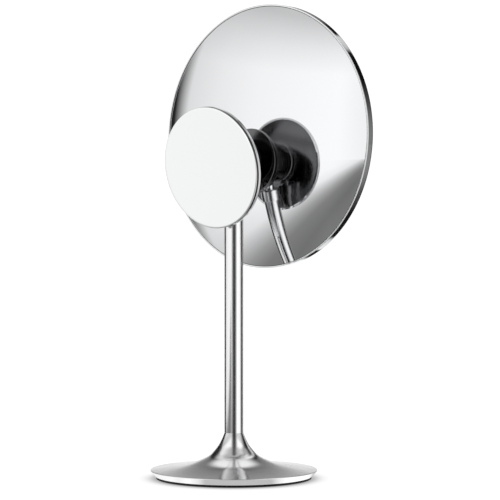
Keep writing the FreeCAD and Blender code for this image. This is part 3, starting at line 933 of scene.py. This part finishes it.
@dataclass
class TiltHub(Assembly):
    """The short barrel that carries both mirrors on two cross pins.

    Attributes:
        radius: Radius of the barrel.
        wall: Thickness of the barrel.
        length: From the small mirror's face to the barrel's front edge.
        seat: Where the barrel starts.
        foot_r: Radius of the barrel's foot.
        foot_h: Height of the foot.
        floor_h: Thickness of the barrel's floor.
        window: Half width, lower and upper end of the slot for the rod.
        bezel_h: Thickness of the bezel.
        mouth: Half width, half height, lower and upper end of the mouth in the bezel.
        fillet: Size of the fillet above the foot.
        gap: Gap between the bezel and the barrel.
        edge: Rounding of the barrel's corners.
        bezel_edge: Rounding of the bezel's corners.
    """

    radius: float = 17.0
    wall: float = 2.0
    length: float = 39.5
    seat: float = 6.8
    foot_r: float = 20.5
    foot_h: float = 1.4
    floor_h: float = 2.0
    window: Triple = (4.4, 17.7, 32.2)
    bezel_h: float = 0.8
    mouth: tuple[float, float, float, float] = (4.6, 9.0, 30.0, 45.0)
    fillet: float = 0.6
    gap: float = 0.1
    edge: float = 0.4
    bezel_edge: float = 0.2

    def build(self) -> None:
        """Builds the barrel and its bezel and dresses the knuckle inside."""
        bore, top = self.radius - self.wall, self.seat + self.foot_h
        floor = self.seat + self.floor_h
        outline = [(0, self.seat), (self.foot_r, self.seat), (self.foot_r, top),
                   (self.radius + self.fillet, top), (self.radius, top + self.fillet),
                   (self.radius, self.length), (bore, self.length), (bore, floor), (0, floor)]
        barrel = turned("hub_barrel_look", eased(outline, self.edge), Axis.HUB)
        half, low, high = self.window
        slot = block("window", (-half, -2 * self.radius, low), (half, -0.5 * self.radius, high), Axis.HUB)
        shape_with(barrel, slot, "DIFFERENCE")
        self.fit(barrel, NICKEL, Body.HUB, "black_nickel", "hub_barrel")
        front, rim = self.length - self.gap, bore - self.gap
        disc = [(0, front - self.bezel_h), (rim, front - self.bezel_h), (rim, front), (0, front)]
        bezel = turned("hub_bezel_look", eased(disc, self.bezel_edge), Axis.HUB)
        half_x, half_y, low, high = self.mouth
        mouth = block("mouth", (-half_x, -half_y, low), (half_x, half_y, high), Axis.HUB)
        shape_with(bezel, mouth, "DIFFERENCE")
        self.fit(bezel, BLACK, Body.HUB, "gloss_black", "hub_bezel")
        self.dress(BLACK, "hub_core")
        self.dress(STEEL, "hub_pins")
        self.dress(NYLON, "friction_washers")
        self.dress(ZINC, "hub_screws")


@dataclass
class SmallMirror(Assembly):
    """The small magnifying mirror on the hub's back end.

    Attributes:
        radius: Outer radius of the ring.
        wall: Thickness of the ring.
        depth: Depth of the ring.
        inset: How far the glass's edge lies behind the ring's.
        crimp: How far the ring folds over the plate.
        seat_r: Radius of the flat that the hub stands on.
        seat: Where that flat lies.
        edge_w: Where the back plate's edge lies.
        dome_r: Radius of the back plate's curve.
        glass_h: Thickness of the glass at its edge.
        curve_r: Radius of the hollow face.
        plate_h: Thickness of the back plate.
        plate_step: How far the plate's hollow keeps from its seat.
        edge_h: Thickness of the plate's edge.
        edge_in: Width of that edge.
        part_gap: Gap between the ring and what fits in it.
        bevel: Width of the bevel round the glass.
        bevel_drop: Depth of its outer half.
        band: Width of the black edge on the glass.
        fold_gap: Gap between the plate and the ring's fold.
        edge: Rounding of the ring's corners.
        back_steps: Steps along the plate's curve.
        face_steps: Steps along the hollow face.
    """

    radius: float = 45.0
    wall: float = 0.8
    depth: float = 5.2
    inset: float = 0.2
    crimp: float = 1.2
    seat_r: float = 21.0
    seat: float = 6.8
    edge_w: float = 4.2
    dome_r: float = 200.0
    glass_h: float = 2.6
    curve_r: float = 1000.0
    plate_h: float = 1.5
    plate_step: float = 0.5
    edge_h: float = 1.2
    edge_in: float = 2.0
    part_gap: float = 0.3
    bevel: float = 0.3
    bevel_drop: float = 0.08
    band: float = 1.0
    fold_gap: float = 0.2
    edge: float = 0.4
    back_steps: int = 20
    face_steps: int = 32

    def build(self) -> None:
        """Builds the plate, the glass and the ring and dresses the foam."""
        bore = self.radius - self.wall
        plate, hollow, edge = bore - self.part_gap, self.seat - self.plate_h, self.edge_w - self.edge_h
        back = [(0, hollow), (self.seat_r - self.plate_step, hollow),
                (bore - self.edge_in, edge), (plate, edge)]
        back += arc((plate, self.edge_w), (self.seat_r, self.seat), self.dome_r, False, self.back_steps)
        back += [(self.seat_r, self.seat), (0, self.seat)]
        self.turn("small_shell", back, Axis.HUB, NICKEL, Body.HUB, "black_nickel")
        rim, front, rear = self.radius, self.inset, self.inset + self.glass_h
        dish = self.curve_r - math.sqrt(self.curve_r ** 2 - rim ** 2)
        flat, low = rim - self.bevel, front + self.bevel
        glass = arc((0, front + dish), (flat, front), self.curve_r, False, self.face_steps)
        glass += [(flat, front), (rim - self.bevel / 3, front + self.bevel_drop), (rim, low), (rim, rear),
                  (0, rear)]
        face = self.turn("small_glass", glass, Axis.HUB, SILVERED, Body.HUB, "mirror_glass", FINE_ROUND)
        face.data.materials.append(BLACK.build())
        level = LAYOUT.matrix(Axis.HUB).inverted()
        for polygon in face.data.polygons:
            spot = level @ polygon.center
            polygon.material_index = int(spot.z > low * MM and spot.xy.length > (rim - self.band) * MM)
        inner, fold = bore - self.crimp, self.edge_w + self.fold_gap
        ring = [(bore, rear), (rim, rear), (rim, self.depth), (inner, self.depth), (inner, fold),
                (bore, fold)]
        self.turn("small_ring", eased(ring, self.edge), Axis.HUB, CHROME, Body.HUB, "chrome", FINE_ROUND)
        self.dress(FOAM, "small_pad")


@dataclass
class MirrorHead(Assembly):
    """The large mirror with its domed back, its ring and the flange that it tilts on.

    Attributes:
        radius: Outer radius of the ring.
        wall: Thickness of the ring.
        apex: Where the dome's apex lies in front of the stem's axis.
        dome_r: Radius of the dome.
        skin: Thickness of the dome.
        ring_depth: Depth of the ring.
        lip: Thickness of the ring's lip.
        lip_w: Width of the ring's lip.
        skirt: Height of the dome's straight edge.
        glass_h: Thickness of the glass.
        flange_r: Radius of the flange.
        flange_h: How far the flange stands off the apex.
        tongue: Half width and half height of the tongue.
        pin_r: Radius of the hole in the tongue.
        part_gap: Gap between the ring and what fits in it.
        ring_step: How far the ring reaches behind the dome's edge.
        ring_bevel: Width of the bevel at the ring's front.
        ring_edge: Rounding of the ring's corners.
        glass_edge: Rounding of the glass's corners.
        boss_r: Radius of the boss round the tongue, at its tip and at its root.
        boss_h: Height of the boss.
        flange_in: How far the flange's blank reaches into the dome.
        flange_edge: Rounding of the flange's corners.
        tongue_sink: How far the tongue's root stops short of the flange.
        bed_gap: Gap between the flange and the dome.
        ball: How wide and how deep the tool is that hollows the flange.
        dome_steps: Steps along the outside, the inside and the tool's outline of the dome.
    """

    radius: float = 99.7
    wall: float = 1.2
    apex: float = 19.5
    dome_r: float = 325.0
    skin: float = 1.0
    ring_depth: float = 7.0
    lip: float = 1.0
    lip_w: float = 3.8
    skirt: float = 2.0
    glass_h: float = 3.0
    flange_r: float = 24.5
    flange_h: float = 1.2
    tongue: tuple[float, float] = (3.4, 3.8)
    pin_r: float = 1.8
    part_gap: float = 0.3
    ring_step: float = 0.5
    ring_bevel: float = 1.0
    ring_edge: float = 0.9
    glass_edge: float = 0.3
    boss_r: tuple[float, float] = (5.5, 7.0)
    boss_h: float = 1.5
    flange_in: float = 8.0
    flange_edge: float = 0.45
    tongue_sink: float = 0.5
    bed_gap: float = 0.03
    ball: tuple[float, float] = (60.0, 20.0)
    dome_steps: tuple[int, int, int] = (72, 24, 40)

    @property
    def fit_r(self) -> float:
        """Radius of what fits in the ring."""
        return self.radius - self.wall - self.part_gap

    @property
    def edge(self) -> float:
        """Where the dome's edge lies in front of the stem's axis."""
        return self.apex + self.dome_r - math.sqrt(self.dome_r ** 2 - self.fit_r ** 2)

    def build(self) -> None:
        """Builds dome, glass, ring and flange and dresses what is between them."""
        out, far, inner = self.fit_r, self.edge + self.skirt, self.fit_r - self.skin
        shell_r, centre = self.dome_r - self.skin, self.apex + self.dome_r
        outer_steps, inner_steps, _ = self.dome_steps
        inside = (inner, centre - math.sqrt(shell_r ** 2 - inner ** 2))
        dome = arc((0, self.apex), (out, self.edge), self.dome_r, True, outer_steps)
        dome += [(out, self.edge), (out, far), (inner, far)]
        hollow = (0, self.apex + self.skin)
        dome += arc(inside, hollow, shell_r, True, inner_steps) + [hollow]
        self.turn("back_shell", dome, Axis.HEAD, CHROME, Body.HEAD, "chrome", FINEST_ROUND)
        back = self.edge - self.ring_step
        front = back + self.ring_depth
        face = front - self.lip
        pane = [(0, face - self.glass_h), (out, face - self.glass_h), (out, face), (0, face)]
        pane = eased(pane, self.glass_edge)
        self.turn("mirror_glass", pane, Axis.HEAD, SILVERED, Body.HEAD, "mirror_glass", FINE_ROUND)
        rim, bore, lip = self.radius, self.radius - self.wall, self.radius - self.lip_w
        ring = [(bore, back), (rim, back), (rim, front - self.ring_bevel), (rim - self.ring_bevel, front),
                (lip, front), (lip, face), (bore, face)]
        ring = eased(ring, self.ring_edge)
        self.turn("rim_ring", ring, Axis.HEAD, CHROME, Body.HEAD, "chrome", FINEST_ROUND)
        self.flange(centre)
        self.dress(STEEL, "stiffener")
        self.dress(ZINC, "flange_screws")
        self.dress(FOAM, "mirror_pad")

    def flange(self, centre: float) -> None:
        """Builds the flange with its tongue and beds it on the dome.

        Args:
            centre: Where the dome's centre lies in front of the stem's axis.
        """
        back, deep = self.apex - self.flange_h, self.apex + self.flange_in
        tip, (tip_r, root_r) = back - self.boss_h, self.boss_r
        outline = [(0, tip), (tip_r, tip), (root_r, back), (self.flange_r, back), (self.flange_r, deep),
                   (0, deep)]
        flange = turned("mirror_flange_look", eased(outline, self.flange_edge), Axis.TONGUE, FINE_ROUND)
        half_x, half_y = self.tongue
        depth = LAYOUT.tongue_depth
        root = (half_x, half_y, back - self.tongue_sink)
        neck = block("tongue", (-half_x, -half_y, depth), root, Axis.TONGUE)
        shape_with(flange, self.dome_ball(centre), "DIFFERENCE")
        shape_with(flange, neck, "UNION")
        shape_with(flange, cross_bar("tongue_eye", half_y, half_x, depth, Axis.TONGUE), "UNION")
        shape_with(flange, cross_bar("tongue_hole", self.pin_r, 2 * half_x, depth, Axis.TONGUE), "DIFFERENCE")
        self.fit(flange, NICKEL, Body.HEAD, "black_nickel", "mirror_flange")

    def dome_ball(self, centre: float) -> bpy.types.Object:
        """Makes the part of the dome's ball that the flange is bedded on.

        Args:
            centre: Where the dome's centre lies in front of the stem's axis.

        Returns:
            The tool, which reaches past the flange on every side.
        """
        (reach, deep), radius = self.ball, self.dome_r + self.bed_gap
        low = centre - math.sqrt(radius ** 2 - reach ** 2)
        cap = arc((0, centre - radius), (reach, low), radius, True, self.dome_steps[-1])
        cap += [(reach, low), (reach, low + deep), (0, low + deep)]
        return turned("dome_ball", cap, Axis.HEAD, FINE_ROUND)


# ---------------------------------------------------------------------------- studio
class Sums:
    """Arithmetic nodes in one node tree."""

    def __init__(self, tree: bpy.types.NodeTree) -> None:
        """Keeps the node tree.

        Args:
            tree: The nodes to add to.
        """
        self.tree = tree

    def work(self, operation: str, *values: bpy.types.NodeSocket | float) -> bpy.types.NodeSocket:
        """Adds one arithmetic node.

        Args:
            operation: The node's operation.
            *values: Sockets or plain numbers.

        Returns:
            The result.
        """
        node = self.tree.nodes.new("ShaderNodeMath")
        node.operation = operation
        for entry, value in zip(node.inputs, values):
            if isinstance(value, (int, float)):
                entry.default_value = value
            else:
                self.tree.links.new(value, entry)
        return node.outputs["Value"]

    def times(self, *values: bpy.types.NodeSocket | float) -> bpy.types.NodeSocket:
        """Multiplies two values."""
        return self.work("MULTIPLY", *values)

    def rest(self, value: bpy.types.NodeSocket) -> bpy.types.NodeSocket:
        """Gives what is missing to one."""
        return self.work("SUBTRACT", 1.0, value)

    def ramp(self, source: bpy.types.NodeSocket, stops: Stops) -> bpy.types.NodeSocket:
        """Turns a number into a brightness by a row of stops.

        Args:
            source: The number.
            stops: Pairs of number and brightness, in rising order.

        Returns:
            The brightness.
        """
        low, high = stops[0][0], stops[-1][0]
        top = max(value for _, value in stops)
        share = self.work("DIVIDE", self.work("SUBTRACT", source, low), high - low)
        node = self.tree.nodes.new("ShaderNodeValToRGB")
        row = node.color_ramp.elements
        while len(row) < len(stops):
            row.new(0.5)
        for element, (at, value) in zip(row, stops):
            element.position = (at - low) / (high - low)
            element.color = (value / top, value / top, value / top, 1)
        self.tree.links.new(share, node.inputs["Fac"])
        return self.times(node.outputs["Color"], top)

    def place(self, output: str) -> tuple[bpy.types.NodeSocket, bpy.types.NodeSocket, bpy.types.NodeSocket]:
        """Gives the three parts of a texture coordinate.

        Args:
            output: Which coordinate.

        Returns:
            Its parts along X, Y and Z.
        """
        place = self.tree.nodes.new("ShaderNodeTexCoord")
        split = self.tree.nodes.new("ShaderNodeSeparateXYZ")
        self.tree.links.new(place.outputs[output], split.inputs["Vector"])
        return split.outputs["X"], split.outputs["Y"], split.outputs["Z"]

    def angle(self, x: bpy.types.NodeSocket, y: bpy.types.NodeSocket, facing: float) -> bpy.types.NodeSocket:
        """Gives a direction's angle from a heading in degrees, anticlockwise seen from above.

        Args:
            x: The direction's part along X.
            y: Its part along Y.
            facing: The heading, in degrees from +X.

        Returns:
            The angle.
        """
        turn = math.radians(facing)
        ahead = self.work("ADD", self.times(x, math.cos(turn)), self.times(y, math.sin(turn)))
        aside = self.work("ADD", self.times(x, -math.sin(turn)), self.times(y, math.cos(turn)))
        return self.times(self.work("ARCTAN2", aside, ahead), 180 / math.pi)


@dataclass(frozen=True)
class Studio:
    """A bright tent with soft boxes and dark flags round the object.

    Attributes:
        facing: Direction from the stem to the lens, in degrees from +X.
        round_about: Brightness by the angle from the lens, anticlockwise seen from above.
        overhead: Share of the brightness by elevation in degrees.
        beside: How far a direction counts as beside or behind the object, by the angle from the lens.
        closing: How far the flags beside and behind fade into the ceiling, by elevation.
        behind: How far a direction counts as behind the object.
        screen: How much a grey screen behind the object takes away, by elevation.
        near: The least brightness of the table round the foot, by distance in metres.
        table: Share of the brightness on the table in reflections, by distance along X in metres.
        table_near: Least share of it, by distance along Y in metres.
        lean: How far that distance along X leans with Y.
        lean_from: Where along Y it doesn't lean.
        backdrop: Brightness of the backdrop and the table for the lens.
        contact: How dark the table gets where the object shades it.
        reach: How far that shade reaches, in metres.
        size: Half the table's width in metres.
        seen_z: Height of the table that the lens sees, in metres.
        mirrored_z: Height of the table that the metal sees.
        lamp: Power of the lamp above, in watts.
        lamp_size: Its width in metres.
        lamp_place: Where it hangs.
        lamp_aim: What it points at.
    """

    facing: float = 131.53
    round_about: Stops = field(default_factory=lambda: [
        (-180, 1.0), (-163, 1.0), (-157, 0.02), (-118, 0.02), (-111, 0.85), (-97, 0.97), (-82, 1.06),
        (-53, 1.14), (-45, 1.04), (-36, 1.2), (-27, 0.95), (-15, 0.18), (-2, 0.03), (10, 0.02), (22, 0.2),
        (35, 0.97), (45, 1.28), (75, 1.2), (93, 0.52), (104, 0.08), (112, 0.01), (131, 0.01), (135, 0.75),
        (146, 0.95), (149, 0.02), (158, 0.02), (164, 1.0), (180, 1.0)])
    overhead: Stops = field(default_factory=lambda: [
        (-90, 1.0), (18, 0.97), (24, 0.84), (28, 0.72), (32, 0.58), (37, 0.66), (43, 1.0), (54, 1.0),
        (68, 0.5), (90, 0.38)])
    beside: Stops = field(default_factory=lambda: [
        (-180, 1.0), (-110, 1.0), (-96, 0.0), (96, 0.0), (110, 1.0), (180, 1.0)])
    closing: Stops = field(default_factory=lambda: [(-90, 0.0), (38, 0.0), (58, 1.0), (90, 1.0)])
    behind: Stops = field(default_factory=lambda: [
        (-180, 1.0), (-160, 1.0), (-150, 0.0), (150, 0.0), (160, 1.0), (180, 1.0)])
    screen: Stops = field(default_factory=lambda: [
        (-90, 0.0), (8, 0.0), (15, 0.7), (34, 0.75), (46, 0.0), (90, 0.0)])
    near: Stops = field(default_factory=lambda: [(0.0, 0.6), (0.09, 0.6), (0.2, 0.0), (5.0, 0.0)])
    table: Stops = field(default_factory=lambda: [
        (-2.0, 1.0), (-0.3, 1.0), (-0.12, 0.6), (0.0, 0.25), (0.07, 0.2), (0.14, 0.17), (0.22, 0.22),
        (0.28, 0.36), (0.35, 0.6), (0.43, 0.86), (0.6, 0.95), (2.0, 1.0)])
    table_near: Stops = field(default_factory=lambda: [(-2.0, 1.0), (0.08, 1.0), (0.19, 0.0), (2.0, 0.0)])
    lean: float = 0.1
    lean_from: float = 0.2
    backdrop: float = 1.06
    contact: float = 0.75
    reach: float = 0.05
    size: float = 3.0
    seen_z: float = -0.0003
    mirrored_z: float = -0.0006
    lamp: float = 9.0
    lamp_size: float = 1.6
    lamp_place: Triple = (-0.3, 0.5, 1.9)
    lamp_aim: Triple = (0.0, 0.0, 0.2)

    def tent(self) -> None:
        """Builds the tent's light as the world's background."""
        world = bpy.data.worlds.new("tent")
        world.use_nodes = True
        tree = world.node_tree
        tree.nodes.clear()
        sums = Sums(tree)
        x, y, z = sums.place("Generated")
        angle = sums.angle(x, y, self.facing)
        height = sums.times(sums.work("ARCSINE", z), 180 / math.pi)
        level = sums.ramp(angle, self.round_about)
        fade = sums.times(sums.ramp(angle, self.beside), sums.ramp(height, self.closing))
        taken = sums.times(sums.ramp(angle, self.behind), sums.ramp(height, self.screen))
        light = sums.work("ADD", level, sums.times(fade, sums.rest(level)))
        light = sums.times(sums.times(light, sums.ramp(height, self.overhead)), sums.rest(taken))
        tent, plain = tree.nodes.new("ShaderNodeBackground"), tree.nodes.new("ShaderNodeBackground")
        tree.links.new(light, tent.inputs["Strength"])
        plain.inputs["Strength"].default_value = self.backdrop
        tent.inputs["Color"].default_value = plain.inputs["Color"].default_value = (1, 1, 1, 1)
        path, mix = tree.nodes.new("ShaderNodeLightPath"), tree.nodes.new("ShaderNodeMixShader")
        out = tree.nodes.new("ShaderNodeOutputWorld")
        tree.links.new(path.outputs["Is Camera Ray"], mix.inputs["Fac"])
        tree.links.new(tent.outputs["Background"], mix.inputs[1])
        tree.links.new(plain.outputs["Background"], mix.inputs[2])
        tree.links.new(mix.outputs["Shader"], out.inputs["Surface"])
        bpy.context.scene.world = world

    def glowing(self, name: str) -> tuple[bpy.types.Material, bpy.types.NodeSocket]:
        """Makes a material that only gives off light.

        Args:
            name: The material's name.

        Returns:
            The material and the socket for its strength.
        """
        material = bpy.data.materials.new(name)
        material.use_nodes = True
        tree = material.node_tree
        tree.nodes.clear()
        glow, out = tree.nodes.new("ShaderNodeEmission"), tree.nodes.new("ShaderNodeOutputMaterial")
        tree.links.new(glow.outputs["Emission"], out.inputs["Surface"])
        return material, glow.inputs["Strength"]

    def plane(self, name: str, height: float, material: bpy.types.Material) -> bpy.types.Object:
        """Makes a wide level sheet that belongs to the stage.

        Args:
            name: The object's name.
            height: Its height in metres.
            material: Its material.

        Returns:
            The sheet.
        """
        mesh = bpy.data.meshes.new(name)
        corners = [(x * self.size, y * self.size, height) for x, y in ((-1, -1), (1, -1), (1, 1), (-1, 1))]
        mesh.from_pydata(corners, [], [(0, 1, 2, 3)])
        mesh.materials.append(material)
        thing = linked(name, mesh)
        return thing

    def pale_table(self) -> None:
        """Builds the pale table that the lens sees, softly shaded where the object stands."""
        material, strength = self.glowing("pale_table")
        tree = material.node_tree
        sums = Sums(tree)
        shade = tree.nodes.new("ShaderNodeAmbientOcclusion")
        shade.inputs["Distance"].default_value = self.reach
        dark = sums.times(sums.rest(shade.outputs["AO"]), self.contact)
        tree.links.new(sums.times(sums.rest(dark), self.backdrop), strength)
        table = self.plane("table_seen", self.seen_z, material)
        table.visible_glossy = False
        table.visible_diffuse = False

    def mirrored_table(self) -> None:
        """Builds the table as the metal sees it, with a dim stretch in front of the large mirror's back."""
        material, strength = self.glowing("mirrored_table")
        sums = Sums(material.node_tree)
        x, y, _ = sums.place("Object")
        aslant = sums.work("ADD", x, sums.times(sums.work("SUBTRACT", y, self.lean_from), self.lean))
        share = sums.work("MAXIMUM", sums.ramp(aslant, self.table), sums.ramp(y, self.table_near))
        level = sums.times(sums.ramp(sums.angle(x, y, self.facing), self.round_about), share)
        away = sums.work("SQRT", sums.work("ADD", sums.times(x, x), sums.times(y, y)))
        lit = sums.work("MAXIMUM", level, sums.ramp(away, self.near))
        material.node_tree.links.new(lit, strength)
        table = self.plane("table_mirrored", self.mirrored_z, material)
        table.visible_camera = False

    def lamp_above(self) -> None:
        """Hangs a soft lamp that is not seen in the metal."""
        data = bpy.data.lights.new("top_light", "AREA")
        data.energy, data.size = self.lamp, self.lamp_size
        lamp = linked("top_light", data)
        lamp.location = self.lamp_place
        aim = Vector(self.lamp_aim) - lamp.location
        lamp.rotation_euler = aim.to_track_quat("-Z", "Y").to_euler()
        lamp.visible_glossy = False

    def build(self) -> None:
        """Builds the tent, the table and the lamp."""
        self.tent()
        self.pale_table()
        self.mirrored_table()
        self.lamp_above()
        bpy.context.scene.view_settings.view_transform = "Standard"


@dataclass(frozen=True)
class Lens:
    """The camera.

    Attributes:
        place: Where it stands, in metres.
        heading: Where it looks, in degrees from +X.
        pitch: How far it looks down, in degrees.
        focal: Focal length in millimetres.
        sensor: Width of the sensor in millimetres.
    """

    place: Triple = (-0.9883, 1.1155, 0.1855)
    heading: float = -48.922
    pitch: float = 0.6
    focal: float = 144.0
    sensor: float = 36.0

    def build(self) -> None:
        """Places the camera and makes it the scene's own."""
        data = bpy.data.cameras.new("lens")
        data.lens, data.sensor_width = self.focal, self.sensor
        camera = linked("lens", data)
        heading, pitch = math.radians(self.heading), math.radians(self.pitch)
        level = math.cos(pitch)
        ahead = Vector((math.cos(heading) * level, math.sin(heading) * level, -math.sin(pitch)))
        camera.location = self.place
        camera.rotation_euler = ahead.to_track_quat("-Z", "Y").to_euler()
        bpy.context.scene.camera = camera


def main() -> None:
    """Builds the whole scene."""
    logging.basicConfig(level=logging.INFO, format="%(name)s: %(message)s")
    for part in (WeightedBase(), TelescopicStem(), TiltHub(), SmallMirror(), MirrorHead(), Studio(), Lens()):
        part.build()


if __name__ == "__main__":
    main()
